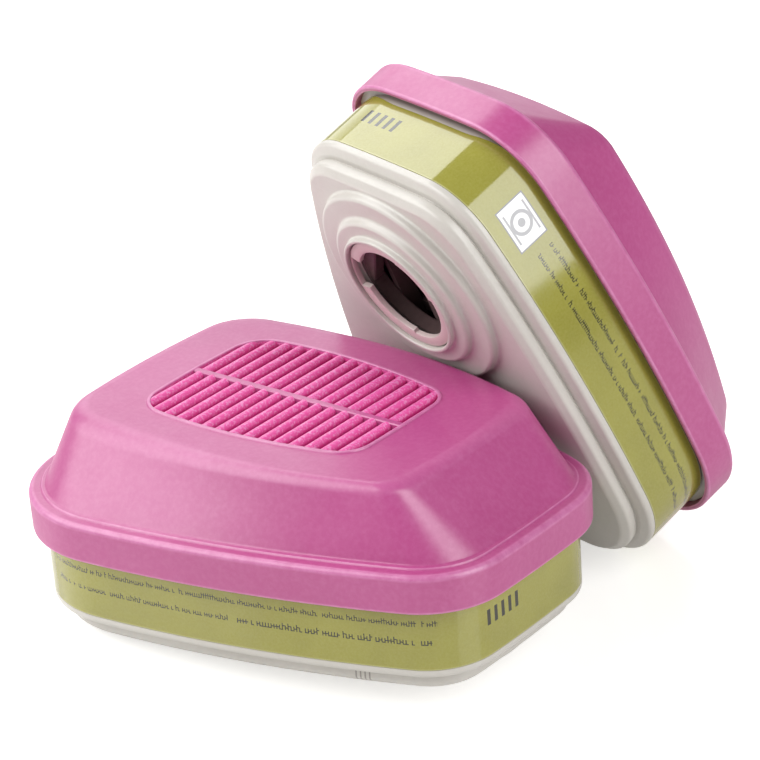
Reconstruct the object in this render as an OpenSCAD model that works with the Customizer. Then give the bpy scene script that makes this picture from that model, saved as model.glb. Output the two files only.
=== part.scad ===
// A pair of combination respirator cartridges: a gas bed in a moulded body with a particulate filter on top.
// One cartridge stands on its socket boss, the other is stood on its wide end and leans against it.
// Each cartridge is built in its own frame, x along its length with the narrow end at +x, and z from its back
// plate to its grille with z = 0 at the back plate's face, and then placed as a whole.

/* [Rim outline] */
// Length of the cover's rim
rim_length = 108; // [100:0.5:116]
// Width of the rim halfway along
rim_width = 82.4; // [78:0.1:86]
// Angle between each long side and the centre line
side_taper = 11.2; // [8:0.1:13]
// Bow radius of the long sides
side_bow = 278; // [220:1:340]
// Bow radius of the two ends
end_bow = 350; // [250:1:500]
// Corner radius at the narrow end
narrow_corner = 18; // [14:0.5:22]
// Corner radius at the wide end
wide_corner = 24.5; // [20:0.5:28]

/* [Cover] */
// Height of the rim's mouth over the back plate
mouth_z = 19.7; // [19:0.1:20]
// Height of the ledge on top of the rim
ledge_z = 28; // [27.6:0.1:28.4]
// Height of the flat top
top_z = 42.5; // [41:0.1:44]
// Length of the flat top
top_length = 83.2; // [76:0.1:84]
// Width of the flat top halfway along
top_width = 60; // [56:0.5:62]
// How far the flat top is shifted along the length
top_shift = -4.6; // [-6:0.1:-3]
// Wall thickness of the cover
cover_wall = 1.3; // [1:0.1:1.4]

/* [Grille] */
// Length of the grille
grille_length = 53.4; // [50:0.1:58]
// Width of the grille halfway along
grille_width = 39.5; // [36:0.1:41]
// How far the grille is shifted along the length
grille_shift = -5.3; // [-6:0.1:-4]
// Slats across the grille, counting the one that the narrow end cuts
slat_count = 16; // [10:1:16]
// Width of one slat
slat_w = 2.2; // [1.6:0.1:2.5]
// Distance from one slat to the next
slat_pitch = 3.48; // [3.2:0.01:3.6]
// Gap between the wide end and the first slat
first_gap = 0.4; // [0.3:0.1:1]
// Width of the bar along the middle of the grille
bar_w = 1.6; // [1:0.1:3]

/* [Body] */
// How far the body wall stands inside the rim outline
body_inset = 3.3; // [3.1:0.1:3.6]
// Thickness of the body wall
body_wall = 1.6; // [1.2:0.1:2]
// Height of the body's open top
body_top = 21.5; // [21.2:0.1:22]
// Thickness of the printed label wrap
label_t = 0.4; // [0.2:0.1:0.5]

/* [Socket] */
// Distance of the socket's axis from the middle, towards the narrow end
socket_x = 22; // [18:0.5:24]
// Bore of the bayonet ring
socket_r = 10.7; // [10:0.1:11.5]
// Outside radius of the socket's collar
collar_r = 14.8; // [14.4:0.1:15.5]
// Height of the collar behind the back plate
collar_h = 4.6; // [4.4:0.1:5]

/* [Pose] */
// Turn of the leaning cartridge about its own length
lean_roll = 5.3; // [5.2:0.1:5.4]
// Pitch of the leaning cartridge, which stands it on its wide end
lean_pitch = -65.4; // [-65.5:0.1:-65.3]
// Heading of the leaning cartridge
lean_yaw = -106.9; // [-107:0.1:-106.8]
// Place of the leaning cartridge along the flat one
lean_x = 3.9; // [3.5:0.1:4.3]
// Place of the leaning cartridge across the flat one
lean_y = 33.87; // [33.85:0.01:34]
// Height of the leaning cartridge's back plate centre
lean_z = 44.62; // [44.62:0.01:44.7]

/* [Hidden] */

magenta = [0.80, 0.36, 0.60];
pale_grey = [0.84, 0.81, 0.78];
olive = [0.67, 0.66, 0.36];
pink_grey = [0.82, 0.74, 0.74];
media_white = [0.93, 0.90, 0.90];
carbon_black = [0.09, 0.09, 0.09];
scrim_white = [0.90, 0.90, 0.88];
grid_grey = [0.55, 0.54, 0.53];
bead_cream = [0.88, 0.84, 0.72];

eps = 0.01;
end_steps = 2;
corner_steps = 6;
side_steps = 9;
round_fn = 96;

// An outline is [length, width, shift, taper, side bow, end bow, narrow corner, wide corner]
rim = [rim_length, rim_width, 0, side_taper, side_bow, end_bow, narrow_corner, wide_corner];
top = [top_length, top_width, top_shift, 3.4, 145, 150, 5.4, 11];
grille = [grille_length, grille_width, grille_shift, 3.5, 116, 280, 6.4, 7.5];

// The outline the slots of the two grids are kept inside
slotted = [rim_length - 18, rim_width - 18, 0, side_taper, side_bow, end_bow, 12, 18];

plate_t = 2;
groove_z = 3.5;
skirt_z = 6;
grid_seat_z = 5.5;
grid_t = 1.2;
scrim_t = 1;
carbon_z = grid_seat_z + grid_t + scrim_t;
carbon_top = 17.5;
upper_grid_t = 1.5;
label_top = 20.7;
frame_t = 3;
frame_z = body_top;
media_z = frame_z + frame_t;
media_h = 13;
pack_x = [-38, 28];
pack_y = 20;
pleat_count = 16;
pleat_t = 0.8;
potting_t = 2;
frame_ledge = 2;
slot_margin = 3;
slot_bar = 5;
slot_count = 12;
slot_w = 4;
end_slot_drop = 1.6;
rib_gap = 10;
rib_t = 1.4;
rib_length = 68;
plenum_inset = 8.2;
cavity_inset = body_inset + body_wall;
collar_in_r = 13.3;
throat_r = 12.4;
ring_z = -3.7;
ring_seat_z = -1.4;
tier3_r = 23.5;
tier4_r = 18.1;
tier3_z = -1.8;
tier4_z = -3.3;
lip_round = 0.3;
plate_edge_inset = 7.6;
notch_angle = 24;
notch_r = 12.4;
// The flat cartridge tips until its collar and the edge of its back plate both touch the floor
flat_tilt = atan(collar_h / (socket_x - collar_r + lip_round + rim_length / 2 - plate_edge_inset));
floor_z = (rim_length / 2 - plate_edge_inset) * sin(flat_tilt);

// Brings the middle of the pair's bounding box over the origin
group_shift = [-0.16, -24.02, 0];

// Outlines

function polar(c, r, a) = [c.x + r * cos(a), c.y + r * sin(a)];

function bearing(c, p) = atan2(p.y - c.y, p.x - c.x);

function arc(c, r, a0, a1, n) = [for (i = [0 : n - 1]) polar(c, r, a0 + (a1 - a0) * i / n)];

// The point r0 from c0 and r1 from c1, on the left of the way from c0 to c1
function meet(c0, r0, c1, r1) =
    let (
        v = c1 - c0,
        d = norm(v),
        u = v / d,
        a = (r0 * r0 - r1 * r1 + d * d) / (2 * d)
    )
    c0 + a * u + sqrt(r0 * r0 - a * a) * [-u.y, u.x];

// Half of an outline, from the middle of the narrow end to the middle of the wide end
function half_outline(o, inset) =
    let (
        side_c = [o[2], o[1] / 2] - o[4] * [sin(o[3]), cos(o[3])],
        narrow_c = [o[2] + o[0] / 2 - o[5], 0],
        wide_c = [o[2] - o[0] / 2 + o[5], 0],
        corner_n = meet(narrow_c, o[5] - o[6], side_c, o[4] - o[6]),
        corner_w = meet(side_c, o[4] - o[7], wide_c, o[5] - o[7]),
        a1 = bearing(narrow_c, corner_n),
        a2 = bearing(side_c, corner_n),
        a3 = bearing(side_c, corner_w),
        a4 = bearing(wide_c, corner_w)
    )
    concat(
        arc(narrow_c, o[5] - inset, 0, a1, end_steps),
        arc(corner_n, o[6] - inset, a1, a2, corner_steps),
        arc(side_c, o[4] - inset, a2, a3, side_steps),
        arc(corner_w, o[7] - inset, a3, a4, corner_steps),
        arc(wide_c, o[5] - inset, a4, 180, end_steps),
        [[o[2] - o[0] / 2 + inset, 0]]
    );

function outline(o, inset = 0) =
    let (h = half_outline(o, inset), n = len(h))
    concat(h, [for (i = [n - 2 : -1 : 1]) [h[i].x, -h[i].y]]);

function mix(a, b, t) = [for (i = [0 : len(a) - 1]) a[i] * (1 - t) + b[i] * t];

// Half width of an outline at a distance x along it, on its long side
function half_width_at(o, x) =
    let (c = [o[2], o[1] / 2] - o[4] * [sin(o[3]), cos(o[3])], dx = x - c.x)
    c.y + sqrt(o[4] * o[4] - dx * dx);

// Basic solids

// A closed skin through a stack of rings, each [z, points]
module loft(rings) {
    n = len(rings[0][1]);
    m = len(rings);
    points = [for (r = rings) for (p = r[1]) [p.x, p.y, r[0]]];
    sides = [
        for (k = [0 : m - 2]) for (i = [0 : n - 1])
            let (j = (i + 1) % n, a = k * n + i, b = k * n + j, c = b + n, d = a + n)
            each [[a, d, c], [a, c, b]]
    ];
    bottom = [for (i = [0 : n - 1]) i];
    lid = [for (i = [n - 1 : -1 : 0]) (m - 1) * n + i];
    polyhedron(points = points, faces = concat([bottom], sides, [lid]));
}

module slab(o, inset, z0, z1) {
    translate([0, 0, z0]) linear_extrude(z1 - z0) polygon(outline(o, inset));
}

// A plate across the body's inside, with a row of slots on each side of a middle bar
module slotted_plate(z, t) {
    pitch = (slotted[0] - 2 * slot_margin) / slot_count;
    difference() {
        slab(rim, cavity_inset, z, z + t);
        for (i = [0 : slot_count - 1]) {
            x = slotted[2] - slotted[0] / 2 + slot_margin + pitch * (i + 0.5);
            half = slot_w / 2;
            edge = min(half_width_at(slotted, x - half), half_width_at(slotted, x + half)) - slot_margin;
            end_drop = (i == 0 || i == slot_count - 1) ? end_slot_drop : 0;
            for (s = [-1, 1])
                translate([x - slot_w / 2, s > 0 ? slot_bar / 2 : -edge + end_drop, z - 1])
                    cube([slot_w, edge - end_drop - slot_bar / 2, t + 2]);
        }
    }
}

// Cartridge pieces

module filter_cover() {
    outer = [
        [mouth_z, outline(rim, 0.8)],
        [mouth_z + 0.4, outline(rim, 0.2)],
        [mouth_z + 1.2, outline(rim, 0)],
        [ledge_z - 1.6, outline(rim, 0)],
        [ledge_z - 0.7, outline(rim, 0.3)],
        [ledge_z - 0.2, outline(rim, 0.9)],
        [ledge_z, outline(rim, 1.8)],
        [ledge_z + 0.1, outline(rim, 3.3)],
        [ledge_z + 0.7, outline(rim, 4)],
        [top_z - 1.9, mix(outline(rim, 4), outline(top, 0), 0.87)],
        [top_z - 0.5, outline(top, 0.5)],
        [top_z, outline(top, 2.4)]
    ];
    inner = [
        [ledge_z - 1.5, outline(rim, 6)],
        [ledge_z - 0.5, outline(rim, 6.2)],
        [top_z - 2.1, outline(top, 2.6)]
    ];
    color(magenta) difference() {
        union() {
            loft(outer);
            // Thin lip round the grille
            difference() {
                slab(grille, -1, top_z - 1, top_z + 0.5);
                slab(grille, 0, top_z - 2, top_z + 1);
            }
        }
        slab(rim, cover_wall, mouth_z - 1, ledge_z - 1.5 + eps);
        loft(inner);
        slab(grille, 0, top_z - 4, top_z + 1);
    }
    color(magenta) intersection() {
        slab(grille, -0.5, top_z - 3, top_z + 1);
        slats(top_z - 2, top_z - 0.5);
    }
}

// Slats from the wide end, the last one cut by the narrow end, and the bar that joins them along the middle
module slats(z0, z1) {
    x0 = grille_shift - grille_length / 2;
    for (i = [0 : slat_count - 1])
        translate([x0 + first_gap + i * slat_pitch, -grille_width / 2, z0])
            cube([slat_w, grille_width, z1 - z0]);
    translate([x0 - 0.5, -bar_w / 2, z0]) cube([grille_length + 1, bar_w, z1 - z0]);
}

module pleated_media() {
    pitch = (pack_x[1] - pack_x[0]) / pleat_count;
    lift = pleat_t * 1.9;
    folds = 2 * pleat_count;
    upper = [for (i = [0 : folds]) [pack_x[0] + i * pitch / 2, i % 2 == 0 ? lift : media_h]];
    lower = [for (i = [folds : -1 : 0]) [pack_x[0] + i * pitch / 2, i % 2 == 0 ? 0 : media_h - lift]];
    color(media_white) translate([0, pack_y, media_z]) rotate([90, 0, 0])
        linear_extrude(2 * pack_y) polygon(concat(upper, lower));
}

module potting_bead() {
    color(bead_cream) translate([0, 0, media_z]) linear_extrude(potting_t) difference() {
        polygon(outline(rim, 9));
        translate([pack_x[0], -pack_y]) square([pack_x[1] - pack_x[0], 2 * pack_y]);
    }
}

module filter_frame() {
    color(pale_grey) translate([0, 0, frame_z]) linear_extrude(frame_t) difference() {
        polygon(outline(rim, cover_wall));
        translate([pack_x[0] + frame_ledge, -pack_y + frame_ledge])
            square([pack_x[1] - pack_x[0] - 2 * frame_ledge, 2 * (pack_y - frame_ledge)]);
    }
}

module upper_grid() {
    color(grid_grey) slotted_plate(carbon_top + scrim_t, upper_grid_t);
}

module upper_scrim() {
    color(scrim_white) slab(rim, cavity_inset, carbon_top, carbon_top + scrim_t);
}

module carbon_bed() {
    color(carbon_black) slab(rim, cavity_inset, carbon_z, carbon_top);
}

module lower_scrim() {
    color(scrim_white) slab(rim, cavity_inset, carbon_z - scrim_t, carbon_z);
}

// The lower grid stands on five ribs that keep the plenum behind the socket open
module lower_grid() {
    color(grid_grey) union() {
        slotted_plate(grid_seat_z, grid_t);
        for (i = [-2 : 2])
            translate([-36, i * rib_gap - rib_t / 2, plate_t])
                cube([rib_length - abs(i) * 4, rib_t, grid_seat_z - plate_t + 0.2]);
    }
}

module cartridge_body() {
    // Skin from the back plate up, as [height, inset from the rim outline]
    skin = [
        [0, plate_edge_inset],
        [0.3, 6.9],
        [1.1, 6.1],
        [2.2, 5.7],
        [3.2, 5.8],
        [groove_z, 6.4],
        [groove_z + 0.3, 5],
        [groove_z + 0.9, 3.6],
        [groove_z + 1.6, body_inset - label_t],
        [skirt_z, body_inset - label_t],
        [skirt_z + eps, body_inset],
        [body_top, body_inset]
    ];
    // Section of the stepped boss and its collar, as [radius, height]
    boss = [
        [throat_r, 1],
        [tier3_r, 1],
        [tier3_r, tier3_z + 0.8],
        [tier3_r - 0.3, tier3_z + 0.25],
        [tier3_r - 1, tier3_z],
        [tier4_r + 0.5, tier3_z],
        [tier4_r, tier3_z - 0.3],
        [tier4_r, tier4_z + 0.7],
        [tier4_r - 0.3, tier4_z + 0.2],
        [tier4_r - 1, tier4_z],
        [collar_r, tier4_z],
        [collar_r, lip_round - collar_h],
        [collar_r - lip_round, -collar_h],
        [collar_in_r + lip_round, -collar_h],
        [collar_in_r, lip_round - collar_h],
        [collar_in_r, ring_seat_z],
        [throat_r, ring_seat_z]
    ];
    color(pale_grey) difference() {
        union() {
            loft([for (s = skin) [s[0], outline(rim, s[1])]]);
            translate([socket_x, 0, 0]) rotate_extrude($fn = round_fn) polygon(boss);
        }
        slab(rim, plenum_inset, plate_t, grid_seat_z + 1);
        slab(rim, cavity_inset, grid_seat_z, body_top + 1);
        translate([socket_x, 0, ring_seat_z - eps]) cylinder(r = throat_r, h = plate_t + 3, $fn = round_fn);
    }
}

module label_wrap() {
    color(olive) difference() {
        slab(rim, body_inset - label_t, skirt_z + 0.05, label_top);
        slab(rim, body_inset, skirt_z - 1, label_top + 1);
    }
}

// The ring a facepiece's post turns into, with a notch for each of its three lugs
module bayonet_ring() {
    ring_t = ring_seat_z - ring_z;
    half = notch_angle / 2;
    notch = [[0, 0], polar([0, 0], notch_r, -half), [notch_r + 0.2, 0], polar([0, 0], notch_r, half)];
    color(pink_grey) translate([socket_x, 0, ring_z]) difference() {
        cylinder(r = collar_in_r, h = ring_t, $fn = round_fn);
        translate([0, 0, -1]) cylinder(r = socket_r, h = ring_t + 2, $fn = round_fn);
        for (a = [37, 157, 277]) rotate(a) translate([0, 0, -1]) linear_extrude(ring_t + 2) polygon(notch);
    }
}

module piece(name) {
    if (name == "filter_cover") filter_cover();
    if (name == "pleated_media") pleated_media();
    if (name == "potting_bead") potting_bead();
    if (name == "filter_frame") filter_frame();
    if (name == "upper_grid") upper_grid();
    if (name == "upper_scrim") upper_scrim();
    if (name == "carbon_bed") carbon_bed();
    if (name == "lower_scrim") lower_scrim();
    if (name == "lower_grid") lower_grid();
    if (name == "cartridge_body") cartridge_body();
    if (name == "label_wrap") label_wrap();
    if (name == "bayonet_ring") bayonet_ring();
}

// The flat cartridge stands on the rim of its collar and the edge of its back plate
module flat(name) {
    translate(group_shift + [0, 0, floor_z]) rotate([0, -flat_tilt, 0]) piece(name);
}

// The leaning cartridge stands on its wide end, with its boss on the flat one's top
module leaning(name) {
    translate(group_shift + [lean_x, lean_y, lean_z]) rotate([lean_roll, lean_pitch, lean_yaw]) piece(name);
}

flat("filter_cover");  // flat_filter_cover
flat("pleated_media");  // flat_pleated_media
flat("potting_bead");  // flat_potting_bead
flat("filter_frame");  // flat_filter_frame
flat("upper_grid");  // flat_upper_grid
flat("upper_scrim");  // flat_upper_scrim
flat("carbon_bed");  // flat_carbon_bed
flat("lower_scrim");  // flat_lower_scrim
flat("lower_grid");  // flat_lower_grid
flat("cartridge_body");  // flat_cartridge_body
flat("label_wrap");  // flat_label_wrap
flat("bayonet_ring");  // flat_bayonet_ring
leaning("filter_cover");  // leaning_filter_cover
leaning("pleated_media");  // leaning_pleated_media
leaning("potting_bead");  // leaning_potting_bead
leaning("filter_frame");  // leaning_filter_frame
leaning("upper_grid");  // leaning_upper_grid
leaning("upper_scrim");  // leaning_upper_scrim
leaning("carbon_bed");  // leaning_carbon_bed
leaning("lower_scrim");  // leaning_lower_scrim
leaning("lower_grid");  // leaning_lower_grid
leaning("cartridge_body");  // leaning_cartridge_body
leaning("label_wrap");  // leaning_label_wrap
leaning("bayonet_ring");  // leaning_bayonet_ring
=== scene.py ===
"""A pair of respirator cartridges: the looks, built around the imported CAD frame.

Every piece is built in a cartridge's own frame, in millimetres: x along its length with the narrow end
at +x, and z from the back plate's face up to the grille. A placement matrix with the CAD source's numbers
then puts it where the CAD has it, in metres.
"""

import math

import bpy
import numpy as np
from mathutils import Matrix, Vector


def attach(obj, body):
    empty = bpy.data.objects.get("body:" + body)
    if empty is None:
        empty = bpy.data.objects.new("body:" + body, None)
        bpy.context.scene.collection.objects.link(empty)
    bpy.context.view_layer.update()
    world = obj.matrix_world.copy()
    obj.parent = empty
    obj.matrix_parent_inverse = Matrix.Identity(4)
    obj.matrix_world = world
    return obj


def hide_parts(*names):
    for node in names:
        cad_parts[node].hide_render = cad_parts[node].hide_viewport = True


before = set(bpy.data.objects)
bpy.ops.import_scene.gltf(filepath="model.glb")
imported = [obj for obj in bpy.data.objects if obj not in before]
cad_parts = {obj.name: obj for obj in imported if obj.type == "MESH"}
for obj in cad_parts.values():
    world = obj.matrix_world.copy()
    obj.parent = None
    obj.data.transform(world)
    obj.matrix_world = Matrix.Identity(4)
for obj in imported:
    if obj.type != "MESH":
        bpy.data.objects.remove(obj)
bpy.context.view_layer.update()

MM = 0.001

# Millimetres and degrees, down to the floor and lights. An outline is (length, width, shift, taper,
# side bow, end bow, narrow corner, wide corner), as in the CAD source.
RIM = (108, 82.4, 0, 11.2, 278, 350, 18, 24.5)
TOP = (83.2, 60, -4.6, 3.4, 145, 150, 5.4, 11)
GRILLE = (53.4, 39.5, -5.3, 3.5, 116, 280, 6.4, 7.5)

# Points on each of the five arcs of half an outline
ARC_STEPS = (12, 26, 54, 30, 12)

# The socket's axis, its collar's height and inner radius, the throat's radius and the ring's seat
SOCKET_X = 22.0
COLLAR_H = 4.6
COLLAR_R = 13.9
THROAT_R = 12.4
RING_SEAT_Z = -1.4

# Insets from the rim's outline
COVER_WALL = 1.3
LABEL_INSET = 2.9
BODY_INSET = 3.3

# Heights over the back plate's face
LABEL_FOOT_Z = 6.0
BODY_TOP_Z = 21.5
MOUTH_Z = 19.75
LEDGE_Z = 28.0
GRILLE_FLOOR_Z = 40.4
TOP_Z = 42.5
LIP_Z = 42.85

TINY = 1e-9


# Outlines


def meet(c0, r0, c1, r1):
    """The point r0 from c0 and r1 from c1, on the left of the way from c0 to c1."""
    v = c1 - c0
    d = math.hypot(*v)
    u = v / d
    a = (r0 * r0 - r1 * r1 + d * d) / (2 * d)
    return c0 + a * u + math.sqrt(r0 * r0 - a * a) * np.array([-u[1], u[0]])


def bearing(c, p):
    return math.atan2(p[1] - c[1], p[0] - c[0])


def outline(o, inset=0.0):
    """Points round an outline, from the middle of the narrow end by way of +y."""
    length, width, shift, taper, side_r, end_r, narrow_r, wide_r = o
    t = math.radians(taper)
    side_c = np.array([shift, width / 2]) - side_r * np.array([math.sin(t), math.cos(t)])
    narrow_c = np.array([shift + length / 2 - end_r, 0.0])
    wide_c = np.array([shift - length / 2 + end_r, 0.0])
    corner_n = meet(narrow_c, end_r - narrow_r, side_c, side_r - narrow_r)
    corner_w = meet(side_c, side_r - wide_r, wide_c, end_r - wide_r)
    a1, a2 = bearing(narrow_c, corner_n), bearing(side_c, corner_n)
    a3, a4 = bearing(side_c, corner_w), bearing(wide_c, corner_w)
    arcs = [
        (narrow_c, end_r, 0.0, a1),
        (corner_n, narrow_r, a1, a2),
        (side_c, side_r, a2, a3),
        (corner_w, wide_r, a3, a4),
        (wide_c, end_r, a4, math.pi),
    ]
    half = [
        c + (r - inset) * np.array([math.cos(a), math.sin(a)])
        for (c, r, a0, b0), n in zip(arcs, ARC_STEPS)
        for a in (a0 + (b0 - a0) * i / n for i in range(n))
    ]
    half.append(np.array([shift - length / 2 + inset, 0.0]))
    back = [np.array([p[0], -p[1]]) for p in half[-2:0:-1]]
    return np.array(half + back)


def ring(o, inset, z):
    p = outline(o, inset)
    return np.column_stack([p, np.full(len(p), float(z))])


RIM_POINTS = outline(RIM)
SOCKET_BEARINGS = np.arctan2(RIM_POINTS[:, 1], RIM_POINTS[:, 0] - SOCKET_X)


def socket_ring(radius, z):
    """A circle round the socket's axis, point by point on the same bearings as the rim's outline."""
    a = SOCKET_BEARINGS
    return np.column_stack(
        [SOCKET_X + radius * np.cos(a), radius * np.sin(a), np.full(len(a), float(z))]
    )


# Meshes


def rounded(stations):
    """Rings round a closed profile with rounded corners, and the station that each belongs to.

    A station is (ring, corner radius, steps round the corner). The rings on the way to it are its own too.
    """
    n = len(stations)
    most_of_side = 0.47
    out, owner = [], []
    for k, (p, radius, steps) in enumerate(stations):
        if radius <= 0:
            arc = [p]
        else:
            a = stations[k - 1][0] - p
            b = stations[(k + 1) % n][0] - p
            la = np.linalg.norm(a, axis=1, keepdims=True)
            lb = np.linalg.norm(b, axis=1, keepdims=True)
            cosine = np.sum(a * b, axis=1, keepdims=True) / np.maximum(la * lb, TINY)
            inner = np.arccos(np.clip(cosine, -1, 1))
            setback = radius / np.maximum(np.tan(inner / 2), 0.05)
            setback = np.minimum(setback, most_of_side * np.minimum(la, lb))
            start = p + a / np.maximum(la, TINY) * setback
            end = p + b / np.maximum(lb, TINY) * setback
            weight = np.sin(inner / 2)
            arc = []
            for t in np.linspace(0, 1, steps + 1):
                w0, w1, w2 = (1 - t) ** 2, 2 * t * (1 - t) * weight, t * t
                arc.append((start * w0 + p * w1 + end * w2) / (w0 + w1 + w2))
        if out:
            out.extend(between(out[-1], arc[0]))
        out.extend(arc)
        owner += [k] * (len(out) - len(owner))
    out.extend(between(out[-1], out[0]))
    owner += [n - 1] * (len(out) - len(owner))
    return out, owner


def between(a, b):
    """Rings from a to b, without either. One is close to each end, so a fillet's shading stops there."""
    step, shortest = 2.2, 0.5
    span = float(np.linalg.norm(b - a, axis=1).mean())
    if span < shortest:
        return []
    near = min(0.25, span / 4)
    count = max(0, int(span / step))
    marks = [near / span] + [i / (count + 1) for i in range(1, count + 1)] + [1 - near / span]
    return [a + (b - a) * t for t in sorted(marks)]


def convexity(rings, closed):
    """How sharply each ring's profile turns outwards, 0 to 1, for edges lightened as wear and as painted
    highlight.
    """
    p = np.array(rings)
    before, after = np.roll(p, 1, axis=0), np.roll(p, -1, axis=0)
    a, b = p - before, after - p
    la, lb = np.linalg.norm(a, axis=2), np.linalg.norm(b, axis=2)
    around = np.roll(p, -1, axis=1) - np.roll(p, 1, axis=1)
    bend = np.sum(np.cross(a, b) * around, axis=2)
    bend = bend / np.maximum(la * lb * np.linalg.norm(around, axis=2), TINY)
    curve = np.arcsin(np.clip(-bend, -1, 1)) / np.maximum((la + lb) / 2, 0.05)
    if not closed:
        curve[0] = curve[-1] = 0
    return np.clip(curve, 0, 1)


def turn(angle, axis):
    return Matrix.Rotation(math.radians(angle), 4, axis)


def placements():
    """Cartridge frames in millimetres to the CAD's frame in metres, with the CAD source's own numbers."""
    plate_edge, collar_edge = 46.4, 7.5  # what the flat one stands on, from the middle both ways
    tilt = math.degrees(math.atan(COLLAR_H / (plate_edge + collar_edge)))
    group = Matrix.Scale(MM, 4) @ Matrix.Translation((-0.16, -24.02, 0))
    flat = Matrix.Translation((0, 0, plate_edge * math.sin(math.radians(tilt)))) @ turn(-tilt, "Y")
    lean = turn(-106.9, "Z") @ turn(-65.4, "Y") @ turn(5.3, "X")
    return {"flat": group @ flat, "leaning": group @ Matrix.Translation((3.9, 33.87, 44.62)) @ lean}


MATRIX = placements()


class Parts:
    """Vertices, faces and per-face or per-vertex values of one mesh, gathered part by part."""

    def __init__(self):
        self.points, self.faces, self.uvs, self.wear_and_highlight, self.zone = [], [], [], [], []

    def loft(self, rings, closed=True, caps=False, zone=0, zones=None, flip=False, along=None):
        """A skin through rings of as many points each. UV is (distance round, height) in millimetres."""
        base = len(self.points)
        m, n = len(rings), len(rings[0])
        p = np.array(rings)
        reference = p[m // 2] if along is None else along
        edge = np.linalg.norm(np.roll(reference, -1, axis=0) - reference, axis=1)
        u = np.concatenate([[0], np.cumsum(edge)])
        u = np.where(u > u[-1] / 2, u - u[-1], u)
        v = p[:, :, 2]
        self.points.extend(p.reshape(-1, 3).tolist())
        self.wear_and_highlight.extend(convexity(rings, closed).reshape(-1).tolist())
        for k in range(m if closed else m - 1):
            k2 = (k + 1) % m
            for i in range(n):
                j = (i + 1) % n
                u0, u1 = u[i], u[i + 1]
                if u1 < u0 - 1:  # the face where the distance changes sign
                    u1 += 2 * np.max(u)
                quad = [(k, i), (k, j), (k2, j), (k2, i)]
                us = [u0, u1, u1, u0]
                if flip:
                    quad, us = quad[::-1], us[::-1]
                self.faces.append([base + a * n + b for a, b in quad])
                self.uvs.append([(w, v[a, b]) for w, (a, b) in zip(us, quad)])
                self.zone.append(zone if zones is None else zones[k])
        if caps:
            for k, order in ((0, range(n - 1, -1, -1)), (m - 1, range(n))):
                if flip:
                    order = list(order)[::-1]
                face = [base + k * n + i for i in order]
                self.faces.append(face)
                self.uvs.append([(0.0, 0.0)] * n)
                self.zone.append(zone)

    def finish(self, side, name, materials, node, sharp=38):
        """The mesh as an object in its place, riding on its cartridge and shown instead of a CAD node."""
        name = f"{side}_{name}"
        mesh = bpy.data.meshes.new(name)
        mesh.from_pydata(self.points, [], self.faces)
        layer = mesh.uv_layers.new(name="UVMap")
        flat = [c for face in self.uvs for uv in face for c in uv]
        layer.data.foreach_set("uv", np.array(flat, np.float32))
        wear_and_highlight = mesh.attributes.new("wear_and_highlight", "FLOAT", "POINT")
        wear_and_highlight.data.foreach_set("value", np.array(self.wear_and_highlight, np.float32))
        for material in materials:
            mesh.materials.append(MATERIALS[material])
        mesh.polygons.foreach_set("material_index", np.array(self.zone, np.int32))
        mesh.transform(MATRIX[side])
        mesh.validate()
        mesh.update()
        mesh.shade_smooth()
        mesh.set_sharp_from_angle(angle=math.radians(sharp))
        obj = bpy.data.objects.new(name, mesh)
        bpy.context.scene.collection.objects.link(obj)
        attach(obj, side + "_cartridge")
        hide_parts(f"{side}_{node}")


# Materials


def srgb(r, g, b):
    """An 8-bit display colour as linear RGBA."""
    out = []
    for c in (r, g, b):
        c /= 255
        out.append(c / 12.92 if c <= 0.04045 else ((c + 0.055) / 1.055) ** 2.4)
    return (*out, 1.0)


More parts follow.
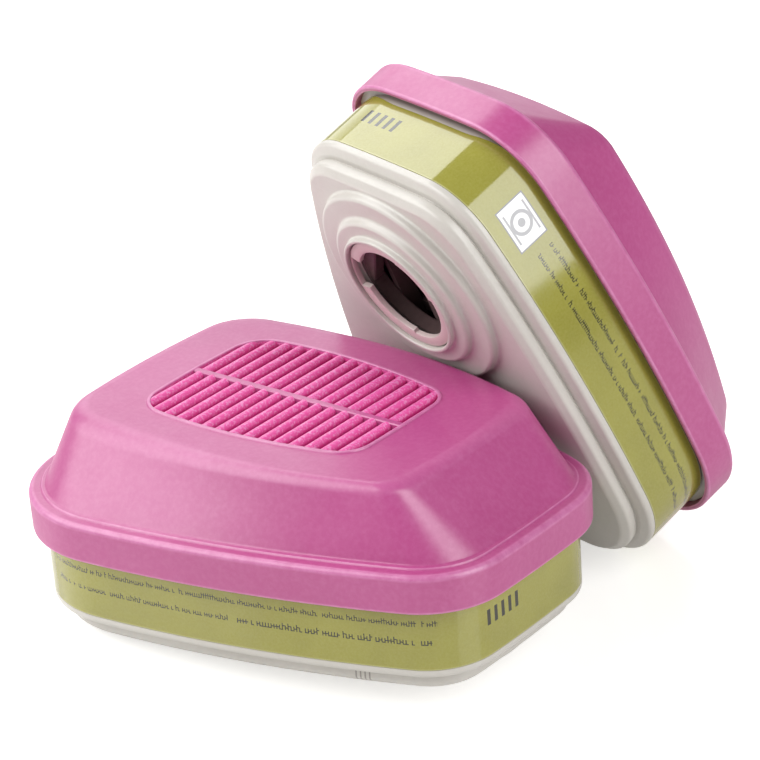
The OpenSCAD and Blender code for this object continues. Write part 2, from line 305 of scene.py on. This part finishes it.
class Shader:
    """A material's node tree, built with short calls."""

    def __init__(self, name):
        self.material = bpy.data.materials.new(name)
        self.material.use_nodes = True
        self.tree = self.material.node_tree
        self.tree.nodes.clear()
        self.out = self.node("ShaderNodeOutputMaterial")
        self.bsdf = self.node("ShaderNodeBsdfPrincipled")
        self.link(self.bsdf.outputs[0], self.out.inputs[0])
        self.place = self.node("ShaderNodeTexCoord").outputs["Object"]

    def node(self, kind, **values):
        n = self.tree.nodes.new(kind)
        for key, value in values.items():
            setattr(n, key, value)
        return n

    def link(self, a, b):
        self.tree.links.new(a, b)

    def feed(self, socket, value):
        if isinstance(value, bpy.types.NodeSocket):
            self.link(value, socket)
        else:
            socket.default_value = value

    def set(self, **values):
        for key, value in values.items():
            self.feed(self.bsdf.inputs[key.replace("_", " ")], value)

    def math(self, operation, a, b=0.0):
        n = self.node("ShaderNodeMath", operation=operation)
        self.feed(n.inputs[0], a)
        self.feed(n.inputs[1], b)
        return n.outputs[0]

    def mix(self, factor, a, b, blend="MIX"):
        n = self.node("ShaderNodeMix", data_type="RGBA", blend_type=blend)
        a_colour, b_colour, result_colour = 6, 7, 2
        self.feed(n.inputs["Factor"], factor)
        self.feed(n.inputs[a_colour], a)
        self.feed(n.inputs[b_colour], b)
        return n.outputs[result_colour]

    def noise(self, size_mm, detail=3.0, roughness=0.5, stretch=None):
        n = self.node("ShaderNodeTexNoise")
        vector = self.place
        if stretch:
            m = self.node("ShaderNodeMapping")
            m.inputs["Scale"].default_value = stretch
            self.link(vector, m.inputs["Vector"])
            vector = m.outputs[0]
        self.link(vector, n.inputs["Vector"])
        n.inputs["Scale"].default_value = 1 / (size_mm * MM)
        n.inputs["Detail"].default_value = detail
        n.inputs["Roughness"].default_value = roughness
        return n.outputs["Fac"]

    def cells(self, size_mm, output="Distance"):
        n = self.node("ShaderNodeTexVoronoi")
        self.link(self.place, n.inputs["Vector"])
        n.inputs["Scale"].default_value = 1 / (size_mm * MM)
        return n.outputs[output]

    def ramp(self, value, low, high, to_low=0.0, to_high=1.0):
        n = self.node("ShaderNodeMapRange")
        self.feed(n.inputs["Value"], value)
        ends = {"From Min": low, "From Max": high, "To Min": to_low, "To Max": to_high}
        for key, number in ends.items():
            n.inputs[key].default_value = number
        return n.outputs[0]

    def colour(self):
        """The socket that feeds the base colour now."""
        return self.bsdf.inputs["Base Color"].links[0].from_socket

    def wear_and_highlight(self):
        n = self.node("ShaderNodeAttribute", attribute_name="wear_and_highlight")
        return n.outputs["Fac"]

    def bump(self, *layers):
        """Bump from (height, depth in millimetres) layers, one after another."""
        normal = None
        for height, depth_mm in layers:
            n = self.node("ShaderNodeBump")
            n.inputs["Strength"].default_value = 1.0
            n.inputs["Distance"].default_value = depth_mm * MM
            self.feed(n.inputs["Height"], height)
            if normal is not None:
                self.link(normal, n.inputs["Normal"])
            normal = n.outputs[0]
        self.link(normal, self.bsdf.inputs["Normal"])


def moulded(
    name, base, lighter, darker, rough, grain_mm=0.45, grain_depth=0.002, specular=0.5, wear_and_highlight=0.5
):
    """Satin injection-moulded plastic: fine spark grain, slow colour drift, and edges lightened partly as
    rubbed wear and partly as a painted highlight.
    """
    s = Shader(name)
    drift = s.ramp(s.noise(28, 2), 0.35, 0.65)
    colour = s.mix(s.math("MULTIPLY", drift, 0.5), base, darker)
    mottle = s.ramp(s.noise(1.1, 4, 0.6), 0.4, 0.7)
    colour = s.mix(s.math("MULTIPLY", mottle, 0.10), colour, lighter)
    # edges lighter by convexity: partly rubbed wear, partly a painted highlight along them
    rub_and_highlight = s.math("MULTIPLY", s.wear_and_highlight(), s.ramp(s.noise(2.4, 4, 0.65), 0.3, 0.75, 0.35, 1.0))
    colour = s.mix(s.math("MULTIPLY", rub_and_highlight, wear_and_highlight), colour, lighter)
    grain = s.noise(grain_mm, 2, 0.55)
    s.set(
        Base_Color=colour,
        Roughness=s.ramp(s.noise(6, 3), 0.3, 0.7, rough - 0.015, rough + 0.055),
        Specular_IOR_Level=specular,
    )
    s.bump((s.noise(12, 1), 0.015), (grain, grain_depth))
    return s


def cover_material():
    base, lighter, darker = srgb(180, 71, 133), srgb(224, 150, 196), srgb(170, 61, 122)
    # the cover's strong edge lightening is partly a painted highlight along its lip and ledges
    return moulded("magenta_moulded", base, lighter, darker, 0.34, specular=0.95, wear_and_highlight=0.6).material


def grille_material():
    """The slats: a speckled bright pink, darkened with painted shade to a dark magenta down in the gaps."""
    base, lighter, darker = srgb(224, 86, 160), srgb(242, 172, 216), srgb(214, 72, 148)
    s = moulded("magenta_grille_painted_gap_shade", base, lighter, darker, 0.34, grain_mm=0.5, grain_depth=0.02, wear_and_highlight=0.3)
    plain = s.colour()
    speck = s.ramp(s.noise(0.55, 3, 0.6), 0.5, 0.62)
    colour = s.mix(s.math("MULTIPLY", speck, 0.5), plain, srgb(230, 174, 216))
    height = uv_sockets(s)[1]
    crown_z, gap_z = 42.25, 41.45
    # painted shade: darker magenta from the slats' crown down into the gaps
    gap_shade = s.ramp(height, crown_z, gap_z)
    s.set(Base_Color=s.mix(s.math("MULTIPLY", gap_shade, 0.85), colour, srgb(194, 26, 120)))
    return s.material


def uv_sockets(s):
    split = s.node("ShaderNodeSeparateXYZ")
    s.link(s.node("ShaderNodeUVMap", uv_map="UVMap").outputs[0], split.inputs[0])
    return split.outputs[0], split.outputs[1]


def body_material():
    """The grey body: four cavity marks low on its skirt, and painted shade where it enters the rim's mouth.
    """
    base, lighter, darker = srgb(200, 196, 189), srgb(224, 221, 215), srgb(189, 184, 177)
    s = moulded("grey_moulded", base, lighter, darker, 0.3, grain_depth=0.0015, specular=0.8, wear_and_highlight=0.45)
    u, v = uv_sockets(s)
    marks = bars(s, u, v, start=-43.6, pitch=0.95, count=4, width=0.32, low=0.5, high=4.2)
    colour = s.mix(s.math("MULTIPLY", marks, 0.75), s.colour(), srgb(120, 112, 106))
    # painted shade: dark brown up the wall inside the rim's mouth
    mouth_shade = s.ramp(v, MOUTH_Z - 0.25, MOUTH_Z + 1.05, 0.0, 0.8)
    s.set(Base_Color=s.mix(mouth_shade, colour, srgb(92, 74, 66)))
    return s.material


def ring_material():
    base, lighter, darker = srgb(208, 190, 187), srgb(228, 214, 210), srgb(196, 177, 174)
    return moulded("ring_moulded", base, lighter, darker, 0.3).material


# painted shade: the grey body's own plastic inside the socket, throat and plenum, and the ramps on the
# throat's wall, coloured dark brown as if in shadow
def throat_shade_material():
    base, lighter, darker = srgb(90, 72, 72), srgb(140, 120, 118), srgb(68, 52, 53)
    return moulded("throat_painted_shade", base, lighter, darker, 0.3).material


def frame_material():
    base, lighter, darker = srgb(212, 207, 203), srgb(232, 229, 226), srgb(198, 193, 190)
    return moulded("frame_moulded", base, lighter, darker, 0.42).material


def grid_material():
    base, lighter, darker = srgb(92, 74, 73), srgb(130, 112, 110), srgb(70, 56, 55)
    return moulded("grid_moulded", base, lighter, darker, 0.45).material


def window(s, value, low, high, soft=0.06):
    """1 between low and high, with soft edges."""
    rise = s.ramp(value, low - soft, low + soft)
    fall = s.ramp(value, high - soft, high + soft, 1.0, 0.0)
    return s.math("MULTIPLY", rise, fall)


def print_row(s, u, v, start, end, base, size, seed):
    """Plain strokes grouped like words: no letters, only short bars of uneven height and a few joins."""
    pitch, pen = 0.42 * size, 0.15 * size
    turns = s.math("DIVIDE", s.math("ADD", u, seed), pitch)
    noise = s.node("ShaderNodeTexWhiteNoise", noise_dimensions="1D")
    s.link(s.math("FLOOR", turns), noise.inputs["W"])
    chance = noise.outputs["Value"]
    word = s.math("LESS_THAN", chance, 0.86)
    stroke = s.math("LESS_THAN", s.math("FRACT", turns), pen / pitch)
    ascender = s.math("MULTIPLY", s.math("GREATER_THAN", chance, 0.66), 0.34 * size)
    tall = s.math("ADD", 0.72 * size, ascender)
    rise = s.math("SUBTRACT", v, base)
    upright = s.math("MULTIPLY", stroke, s.math("LESS_THAN", rise, tall))
    level = s.math("MULTIPLY", s.math("FLOOR", s.math("MULTIPLY", chance, 3.0)), 0.29 * size)
    join = s.math("COMPARE", rise, s.math("ADD", level, 0.08 * size))
    s.feed(join.node.inputs[2], 0.08 * size)
    drawn = s.math("MULTIPLY", s.math("MAXIMUM", upright, join), s.math("GREATER_THAN", rise, 0.0))
    return s.math("MULTIPLY", s.math("MULTIPLY", word, drawn), window(s, u, start, end, 0.02))


def bars(s, u, v, start, pitch, count, width, low, high):
    """Plain upright bars."""
    local = s.math("SUBTRACT", u, start)
    bar = s.math("LESS_THAN", s.math("FRACT", s.math("DIVIDE", local, pitch)), width / pitch)
    after, before = s.math("GREATER_THAN", local, 0.0), s.math("LESS_THAN", local, pitch * count)
    across = s.math("MULTIPLY", bar, s.math("MULTIPLY", after, before))
    return s.math("MULTIPLY", across, window(s, v, low, high, 0.03))


def ring_mark(s, u, v, cu, cv, radius, width):
    du, dv = s.math("SUBTRACT", u, cu), s.math("SUBTRACT", v, cv)
    r = s.math("SQRT", s.math("ADD", s.math("MULTIPLY", du, du), s.math("MULTIPLY", dv, dv)))
    return window(s, r, radius - width / 2, radius + width / 2, 0.05)


def square_mark(s, u, v):
    """A plain square (its border and its field) and the target between two lines that it carries."""
    cu, cv = 33.5, 13.05
    half_u, half_v, border = 5.0, 3.85, 0.3
    square = [
        s.math(
            "MULTIPLY",
            window(s, u, cu - half_u + edge, cu + half_u - edge, 0.05),
            window(s, v, cv - half_v + edge, cv + half_v - edge, 0.05),
        )
        for edge in (0.0, border)
    ]
    target = ring_mark(s, u, v, cu, cv, radius=2.3, width=0.75)
    dot = ring_mark(s, u, v, cu, cv, radius=0.35, width=1.1)
    symbol = s.math("MAXIMUM", target, dot)
    reach, thickness = 3.5, 0.45
    for low in (10.1, 15.6):
        along, across = window(s, v, low, low + thickness), window(s, u, cu - reach, cu + reach)
        symbol = s.math("MAXIMUM", symbol, s.math("MULTIPLY", along, across))
    return square, symbol


def label_material():
    """Glossy olive wrap with generic print: stroke rows, a group of bars and one plain square mark."""
    s = Shader("olive_label")
    u, v = uv_sockets(s)
    fibre = s.noise(0.5, 5, 0.65)
    drift = s.ramp(s.noise(14, 3), 0.3, 0.7)
    colour = s.mix(drift, srgb(142, 138, 54), srgb(153, 149, 60))
    colour = s.mix(s.ramp(fibre, 0.35, 0.75, 0.0, 0.16), colour, srgb(196, 192, 120))
    foot, top, soft = (5.5, 6.3), (20.4, 21), 0.12
    edge = s.math("MAXIMUM", window(s, v, *foot, soft), window(s, v, *top, soft))
    colour = s.mix(s.math("MULTIPLY", edge, 0.35), colour, srgb(206, 204, 160))
    ink = srgb(26, 25, 18)
    rows = 0.0
    for start, end, base, size, seed in (
        (-112, -25.2, 15.7, 1.2, 500),
        (-111, -69, 11.7, 1.2, 731),
        (-67, -26.4, 11.6, 1.45, 760),
        (41, 116, 15.4, 1.2, 211),
        (41, 112, 11.9, 1.2, 367),
    ):
        rows = s.math("MAXIMUM", rows, print_row(s, u, v, start, end, base, size, seed))
    number = bars(s, u, v, start=-14.4, pitch=2.2, count=5, width=0.95, low=12.7, high=16.1)
    rows = s.math("MAXIMUM", rows, number)
    speck = s.ramp(s.noise(0.16, 2), 0.36, 0.5, 0.85, 1.0)
    colour = s.mix(s.math("MULTIPLY", rows, speck), colour, ink)
    square, symbol = square_mark(s, u, v)
    for shape, strength, shade in (
        (square[0], 1.0, srgb(120, 120, 120)),
        (square[1], 1.0, srgb(240, 240, 240)),
        (symbol, 0.8, srgb(128, 128, 134)),
    ):
        colour = s.mix(s.math("MULTIPLY", shape, strength), colour, shade)
    s.set(Base_Color=colour, Roughness=s.ramp(fibre, 0.3, 0.7, 0.07, 0.12), IOR=1.55)
    s.set(Coat_Weight=0.45, Coat_Roughness=0.07)  # the clear laminate
    s.bump((s.noise(16, 2), 0.03), (s.noise(3.0, 2), 0.0035), (rows, 0.003))
    return s.material


def fibrous(name, light, dark, size_mm):
    """Felted or paper-like filter media: crossed fibres with lint specks."""
    s = Shader(name)
    a = s.noise(size_mm, 5, 0.7, stretch=(1, 0.2, 1))
    b = s.noise(size_mm, 5, 0.7, stretch=(0.2, 1, 1))
    weave = s.math("MAXIMUM", a, b)
    colour = s.mix(s.ramp(weave, 0.4, 0.75), dark, light)
    colour = s.mix(s.ramp(s.noise(9, 3), 0.4, 0.8, 0.0, 0.3), colour, dark)
    s.set(Base_Color=colour, Roughness=0.85, Specular_IOR_Level=0.25)
    s.bump((weave, 0.05), (s.noise(2.2, 3), 0.06))
    return s.material


def charcoal_material():
    s = Shader("charcoal_granules")
    grains = s.cells(1.2)
    tint = s.cells(1.2, output="Color")
    colour = s.mix(s.ramp(grains, 0.1, 0.8), srgb(52, 50, 49), srgb(14, 13, 13))
    colour = s.mix(0.2, colour, tint, blend="MULTIPLY")
    s.set(Base_Color=colour, Roughness=s.ramp(grains, 0, 1, 0.5, 0.8))
    s.bump((s.math("SUBTRACT", 1.0, grains), 0.35), (s.noise(0.3, 3), 0.03))
    return s.material


def potting_material():
    s = Shader("cast_potting")
    flow = s.noise(5, 4, 0.55)
    colour = s.mix(s.ramp(flow, 0.3, 0.7), srgb(214, 201, 168), srgb(228, 218, 192))
    s.set(Base_Color=colour, Roughness=s.ramp(flow, 0.3, 0.7, 0.3, 0.42))
    s.bump((flow, 0.25), (s.noise(0.8, 2), 0.01))
    return s.material


MATERIALS = {
    "cover": cover_material(),
    "grille": grille_material(),
    "body": body_material(),
    "ring": ring_material(),
    "throat": throat_shade_material(),
    "label": label_material(),
    "frame": frame_material(),
    "media": fibrous("pleated_paper", srgb(226, 190, 206), srgb(192, 140, 166), 0.5),
    "scrim": fibrous("felted_scrim", srgb(92, 76, 74), srgb(48, 38, 38), 0.7),
    "grid": grid_material(),
    "charcoal": charcoal_material(),
    "potting": potting_material(),
}


# Cartridge pieces


def cover(side):
    """Rim, dome, flat top with its raised lip, and the slatted grille, in one moulding."""
    stations = [
        (ring(RIM, COVER_WALL, MOUTH_Z), 0.25, 2),
        (ring(RIM, 0.1, MOUTH_Z), 0.45, 4),
        (ring(RIM, 0.0, LEDGE_Z), 1.1, 7),
        (ring(RIM, 2.5, LEDGE_Z + 0.1), 0.2, 2),
        (ring(RIM, 2.75, LEDGE_Z + 0.45), 0.22, 3),
        (ring(RIM, 3.6, LEDGE_Z + 0.6), 0.5, 3),
        (ring(TOP, -0.7, TOP_Z), 4.3, 12),
        (ring(GRILLE, -0.85, TOP_Z), 0.15, 2),
        (ring(GRILLE, -0.65, LIP_Z), 0.15, 3),
        (ring(GRILLE, 0.0, LIP_Z), 0.15, 3),
        (ring(GRILLE, 0.0, GRILLE_FLOOR_Z), 0.1, 2),
        (ring(TOP, 2.6, GRILLE_FLOOR_Z), 0.8, 4),
        (ring(RIM, 6.2, LEDGE_Z - 0.5), 0.2, 2),
        (ring(RIM, 6.0, LEDGE_Z - 1.5), 0.1, 1),
        (ring(RIM, COVER_WALL, LEDGE_Z - 1.5), 0.4, 2),
    ]
    opening_foot = 10  # the station at the foot of the grille's opening
    rings, owner = rounded(stations)
    parts = Parts()
    # The opening's wall takes the grille's material, so it carries the same painted shade as the gaps.
    parts.loft(rings, zones=[int(k == opening_foot) for k in owner])
    slats(parts)
    parts.finish(side, "cover", ["cover", "grille"], node="filter_cover")


def slats(parts):
    """Half-round slats on both sides of a flat middle bar, from the wide end, the last cut by the other."""
    count, width, pitch, first_gap = 16, 2.2, 3.48, 0.4
    wide_end = GRILLE[2] - GRILLE[0] / 2
    base, spring, crown = GRILLE_FLOOR_Z, 41.85, 42.75
    bar_half, into_bar, into_wall = 0.8, 0.2, 0.5
    top = outline(GRILLE)
    half = top[: len(top) // 2 + 1]
    xs, ys = half[::-1, 0], half[::-1, 1]
    angles = np.linspace(0, math.pi, 9)
    for i in range(count):
        x0 = wide_end + first_gap + width / 2 + i * pitch
        px = [x0 + width / 2, *(x0 + width / 2 * np.cos(angles)), x0 - width / 2]
        pz = [base, *(spring + (crown - spring) * np.sin(angles)), base]
        reach = np.interp(px, xs, ys)
        for s in (-1, 1):
            rings = []
            for t in (0.0, 0.15, 0.5, 0.85, 1.0):
                y = bar_half - into_bar + (reach + into_wall - bar_half + into_bar) * t
                rings.append(np.column_stack([px, s * y, pz]))
            parts.loft(rings, closed=False, caps=True, zone=1, flip=(s > 0), along=rings[0])
    ends = GRILLE[2] + np.array([-0.5, 0.5]) * (GRILLE[0] + 2 * into_wall)
    edge = 0.22
    profile = [
        (-bar_half, base),
        (-bar_half, crown - edge),
        (-bar_half + edge, crown),
        (bar_half - edge, crown),
        (bar_half, crown - edge),
        (bar_half, base),
    ]
    rings = [np.array([(x, y, z) for y, z in profile]) for x in np.linspace(*ends, 12)]
    parts.loft(rings, closed=False, caps=True, along=rings[0])


def body(side):
    """The moulded body: stepped back plate, socket boss with its collar, throat, plenum and bed."""
    skin = [
        (ring(RIM, BODY_INSET, BODY_TOP_Z), 0.2, 2),
        (ring(RIM, BODY_INSET, LABEL_FOOT_Z), 0.0, 1),
        (ring(RIM, LABEL_INSET, LABEL_FOOT_Z), 0.12, 2),
        (ring(RIM, LABEL_INSET, 4.5), 1.1, 6),
        (ring(RIM, 5.0, 3.8), 0.4, 2),
        (ring(RIM, 6.4, 3.6), 0.2, 3),
        (ring(RIM, 5.7, 3.2), 0.3, 3),
        (ring(RIM, 5.6, 1.4), 1.0, 6),
        (ring(RIM, 7.2, 0.0), 1.1, 6),
        (socket_ring(23.9, 0.0), 0.5, 4),
        (socket_ring(23.5, -1.8), 0.9, 6),
        (socket_ring(18.5, -1.8), 0.6, 4),
        (socket_ring(18.1, -3.3), 0.9, 6),
        (socket_ring(14.9, -3.3), 0.25, 3),
        (socket_ring(14.75, 0.06 - COLLAR_H), 0.35, 4),
        (socket_ring(COLLAR_R, 0.06 - COLLAR_H), 0.35, 4),
        (socket_ring(COLLAR_R, RING_SEAT_Z), 0.1, 1),
    ]
    inside = [
        (socket_ring(THROAT_R, RING_SEAT_Z), 0.1, 1),
        (socket_ring(THROAT_R, 2.0), 0.3, 3),
        (ring(RIM, 8.2, 2.0), 0.4, 3),
        (ring(RIM, 8.2, 5.5), 0.1, 1),
        (ring(RIM, 4.9, 5.5), 0.1, 1),
        (ring(RIM, 4.9, BODY_TOP_Z), 0.2, 2),
    ]
    rings, owner = rounded(skin + inside)
    last = len(skin) + len(inside) - 1
    parts = Parts()
    # the faces inside the socket take the dark throat material: painted shade
    parts.loft(rings, zones=[int(len(skin) <= k < last) for k in owner], along=ring(RIM, LABEL_INSET, 0))
    parts.finish(side, "body", ["body", "throat"], node="cartridge_body")


def label(side):
    """The printed wrap round the body."""
    parts = Parts()
    front = ring(RIM, LABEL_INSET, 0)
    step = np.linalg.norm(np.roll(front, -1, axis=0) - front, axis=1)
    along = np.concatenate([[0], np.cumsum(step)[:-1]])
    from_end = np.minimum(along, step.sum() - along)
    foot_z = LABEL_FOOT_Z + 0.05
    low_z, rise, low_half, ramp = 19.2, 1.4, 10, 12  # the top edge dips at the middle of the narrow end
    t = np.clip((from_end - low_half) / ramp, 0, 1)
    top_z = low_z + rise * t * t * (3 - 2 * t)
    outer_top, inner_top = ring(RIM, LABEL_INSET, 0), ring(RIM, BODY_INSET, 0)
    outer_top[:, 2] = inner_top[:, 2] = top_z
    stations = [
        (outer_top, 0.05, 1),
        (ring(RIM, LABEL_INSET, foot_z), 0.05, 1),
        (ring(RIM, BODY_INSET, foot_z), 0.0, 1),
        (inner_top, 0.0, 1),
    ]
    parts.loft(rounded(stations)[0], along=front)
    parts.finish(side, "label", ["label"], node="label_wrap")


def bayonet_ring(side):
    """The ring in the collar, with a wide notch and steps in its bore, and two ramps behind it."""
    front, back = -3.75, -2.6
    spans = [(258, 297, 13.1), (297, 381, 10.9), (381, 435, 10.6), (435, 544, 11.3), (544, 618, 10.7)]
    ramp = 0.8
    rings = []
    for a0, a1, r in spans:
        count = max(4, int((a1 - a0) / 3))
        for a in np.linspace(a0 + ramp, a1 - ramp, count):
            rings.append(arc_section(a, r, COLLAR_R, front, back))
    parts = Parts()
    parts.loft(rings, along=rings[0])
    shelf, spread, step, into_wall = 9.0, 40, 5, 0.2
    for middle in (296, 116):
        block = [
            lug_section(middle + a, shelf / math.cos(math.radians(a)), THROAT_R + into_wall)
            for a in range(-spread, spread + 1, step)
        ]
        # the ramps take the dark throat material: painted shade
        parts.loft(block, closed=False, caps=True, along=block[0], zone=1)
    parts.finish(side, "ring", ["ring", "throat"], node="bayonet_ring", sharp=30)


def arc_section(angle, r, outer, front, back):
    """The ring's section at one angle, with an eased lead-in on the bore."""
    lead = 0.4
    profile = [
        (r, back),
        (r, front + lead),
        (r + lead * 0.3, front + lead * 0.3),
        (r + lead, front),
        (outer - 0.55, front),
        (outer - 0.3, front + 0.12),
        (outer - 0.2, front + 0.4),
        (outer - 0.2, back),
    ]
    return around_socket(profile, angle)


def lug_section(angle, r, outer):
    """A ramp on the throat's wall at one angle."""
    profile = [(r, 1.2), (r, -1.0), (r + 0.3, -1.3), (outer, -1.3), (outer, 1.2)]
    return around_socket(profile, angle)


def around_socket(profile, angle):
    t = math.radians(angle)
    return np.array([(SOCKET_X + q * math.cos(t), q * math.sin(t), z) for q, z in profile])


def build(side):
    cover(side)
    body(side)
    label(side)
    bayonet_ring(side)
    kept = {
        "pleated_media": "media",
        "potting_bead": "potting",
        "filter_frame": "frame",
        "upper_grid": "grid",
        "upper_scrim": "scrim",
        "carbon_bed": "charcoal",
        "lower_scrim": "scrim",
        "lower_grid": "grid",
    }
    for node, material in kept.items():
        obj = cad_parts[f"{side}_{node}"]
        obj.data.materials.clear()
        obj.data.materials.append(MATERIALS[material])


for side in ("flat", "leaning"):
    build(side)


# Floor, lights and camera, in metres


def floor():
    mesh = bpy.data.meshes.new("floor")
    half, cuts = 3.0, 24
    line = np.linspace(-half, half, cuts + 1)
    points = [(x, y, 0.0) for y in line for x in line]
    faces = [
        [r * (cuts + 1) + c, r * (cuts + 1) + c + 1, (r + 1) * (cuts + 1) + c + 1, (r + 1) * (cuts + 1) + c]
        for r in range(cuts)
        for c in range(cuts)
    ]
    mesh.from_pydata(points, [], faces)
    obj = bpy.data.objects.new("floor", mesh)
    bpy.context.scene.collection.objects.link(obj)
    s = Shader("floor_white")
    colour = s.mix(s.noise(60, 3), srgb(232, 231, 229), srgb(236, 235, 233))
    s.set(Base_Color=colour, Roughness=0.14, Specular_IOR_Level=0.5)
    for_light, for_camera = 0.11, 0.55
    seen = s.node("ShaderNodeLightPath").outputs["Is Camera Ray"]
    glow = s.ramp(seen, 0, 1, for_light, for_camera)
    s.set(Emission_Color=(1.0, 0.998, 0.985, 1.0), Emission_Strength=glow)
    s.bump((s.noise(8, 2), 0.01))
    mesh.materials.append(s.material)


def area(name, place, aim, size, radiance):
    """A softbox of a given radiance."""
    light = bpy.data.lights.new(name, "AREA")
    light.shape = "RECTANGLE"
    light.size, light.size_y = size
    light.energy = radiance * math.pi * size[0] * size[1]
    obj = bpy.data.objects.new(name, light)
    bpy.context.scene.collection.objects.link(obj)
    obj.location = place
    obj.rotation_mode = "QUATERNION"
    obj.rotation_quaternion = (Vector(aim) - Vector(place)).to_track_quat("-Z", "Y")
    obj.visible_camera = False


def studio():
    world = bpy.data.worlds.new("studio")
    bpy.context.scene.world = world
    world.use_nodes = True
    tree = world.node_tree
    background = tree.nodes["Background"]
    background.inputs["Color"].default_value = (1.0, 0.995, 0.985, 1)
    for_light, for_camera = 0.23, 0.8
    seen = tree.nodes.new("ShaderNodeLightPath").outputs["Is Camera Ray"]
    strength = tree.nodes.new("ShaderNodeMapRange")
    strength.inputs["To Min"].default_value = for_light
    strength.inputs["To Max"].default_value = for_camera
    tree.links.new(seen, strength.inputs["Value"])
    tree.links.new(strength.outputs[0], background.inputs["Strength"])
    centre = Vector((0, -0.01, 0.05))
    for name, azimuth, elevation, distance, size, radiance in (
        ("key", -139, 35, 1.1, (1.45, 1.05), 3.5),
        ("window", 158, 45, 1.0, (0.42, 0.4), 3.7),
        ("side", 1, 32, 0.95, (0.54, 0.98), 4.0),
        ("back_wall", 138, 18, 1.5, (1.3, 0.8), 1.6),
    ):
        a, e = math.radians(azimuth), math.radians(elevation)
        way = Vector((math.cos(a) * math.cos(e), math.sin(a) * math.cos(e), math.sin(e)))
        area(name, centre + way * distance, centre, size, radiance)
    bpy.context.scene.view_settings.view_transform = "Standard"


def camera():
    eye = Vector((0.34365, -0.45752, 0.34341))
    backwards = Vector((0.5376, -0.7031, 0.4654))
    data = bpy.data.cameras.new("camera")
    data.sensor_width = 36.0
    data.lens = 148.48
    data.clip_start, data.clip_end = 0.05, 20.0
    obj = bpy.data.objects.new("camera", data)
    bpy.context.scene.collection.objects.link(obj)
    obj.location = eye
    obj.rotation_mode = "QUATERNION"
    obj.rotation_quaternion = (-backwards).to_track_quat("-Z", "Y")
    bpy.context.scene.camera = obj


floor()
studio()
camera()
